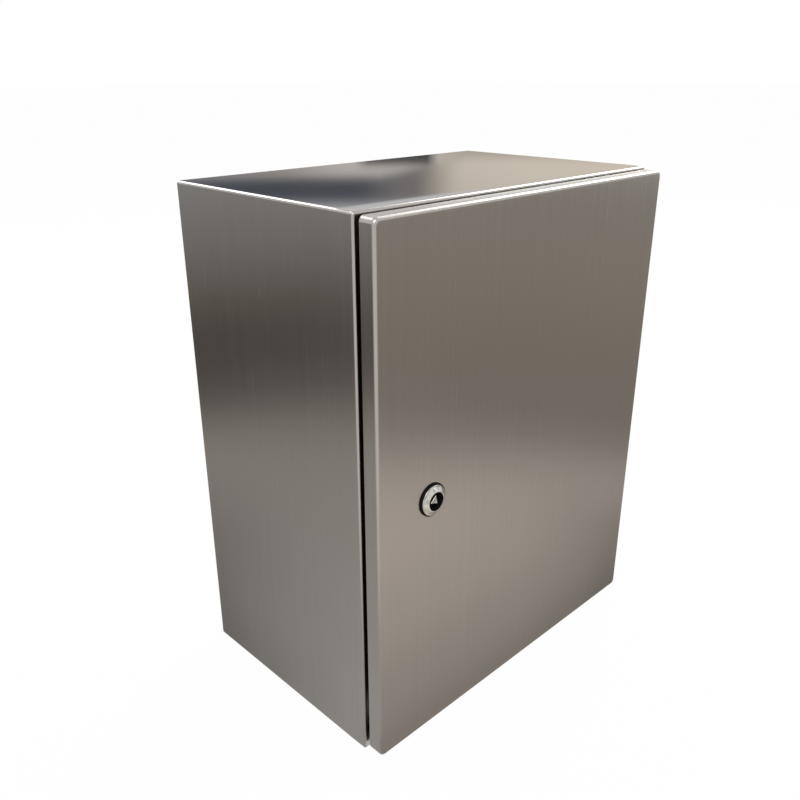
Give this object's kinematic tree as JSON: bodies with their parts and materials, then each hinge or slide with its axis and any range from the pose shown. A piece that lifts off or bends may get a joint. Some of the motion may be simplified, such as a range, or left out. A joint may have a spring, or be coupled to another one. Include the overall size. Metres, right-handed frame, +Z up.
{
  "type": "wall-mounted switchboard cabinet",
  "caption": "Wall-mounted stainless steel enclosure for electrical switchgear, with a side-hinged sealed door, a key-operated cam lock and a removable mounting plate.",
  "frame": {"origin": "on the floor plane under the middle of the whole cabinet, lock included", "axes": "+Z up, +X to the right and -Y to the front, out of the door's face"},
  "size_m": [0.4, 0.2654, 0.5],
  "materials": {
    "stainless": "brushed",
    "zinc_plate": "galvanised",
    "zinc_steel": "zinc plated",
    "chrome": "polished",
    "foam": "matte",
    "rubber": "matte",
    "plastic": "matte"
  },
  "bodies": {
    "cabinet": {"body_wrap": "stainless", "rear_panel": "stainless", "gland_plate": "stainless", "mounting_plate": "zinc_plate", "gland_stud_front_left": "zinc_steel", "gland_stud_front_right": "zinc_steel", "gland_stud_rear_left": "zinc_steel", "gland_stud_rear_right": "zinc_steel", "gland_nut_front_left": "zinc_steel", "gland_nut_front_right": "zinc_steel", "gland_nut_rear_left": "zinc_steel", "gland_nut_rear_right": "zinc_steel", "plate_stud_bottom_left": "zinc_steel", "plate_stud_bottom_right": "zinc_steel", "plate_stud_top_left": "zinc_steel", "plate_stud_top_right": "zinc_steel", "plate_nut_bottom_left": "zinc_steel", "plate_nut_bottom_right": "zinc_steel", "plate_nut_top_left": "zinc_steel", "plate_nut_top_right": "zinc_steel", "body_earth_stud": "zinc_steel", "body_earth_washer": "zinc_steel", "body_earth_nut": "zinc_steel", "hinge_body_leaf_lower": "zinc_steel", "hinge_body_leaf_upper": "zinc_steel", "hinge_pin_lower": "zinc_steel", "hinge_pin_upper": "zinc_steel", "hinge_screw_lower_bottom": "zinc_steel", "hinge_screw_lower_top": "zinc_steel", "hinge_screw_upper_bottom": "zinc_steel", "hinge_screw_upper_top": "zinc_steel", "gland_gasket": "foam", "wall_hole_plug_bottom_left": "plastic", "wall_hole_plug_bottom_right": "plastic", "wall_hole_plug_top_left": "plastic", "wall_hole_plug_top_right": "plastic"},
    "door": {"door_panel": "stainless", "door_gasket": "foam", "door_rail_left": "stainless", "door_rail_right": "stainless", "lock_housing": "chrome", "lock_gasket": "rubber", "lock_nut": "zinc_steel", "door_earth_stud": "zinc_steel", "door_earth_washer": "zinc_steel", "door_earth_nut": "zinc_steel", "hinge_door_leaf_lower": "zinc_steel", "hinge_door_leaf_upper": "zinc_steel"},
    "latch": {"lock_insert": "chrome", "lock_cam": "zinc_steel", "cam_washer": "zinc_steel", "cam_screw": "zinc_steel"}
  },
  "joints": [
    {"name": "door_hinge", "type": "hinge", "parent": "cabinet", "child": "door", "pos_m": [0.19, -0.1198, 0.25], "axis": [0, 0, 1], "range_deg": [0, 120]},
    {"name": "lock_turn", "type": "hinge", "parent": "door", "child": "latch", "pos_m": [-0.134, -0.1073, 0.25], "axis": [0, 1, 0], "range_deg": [0, 90]}
  ]
}
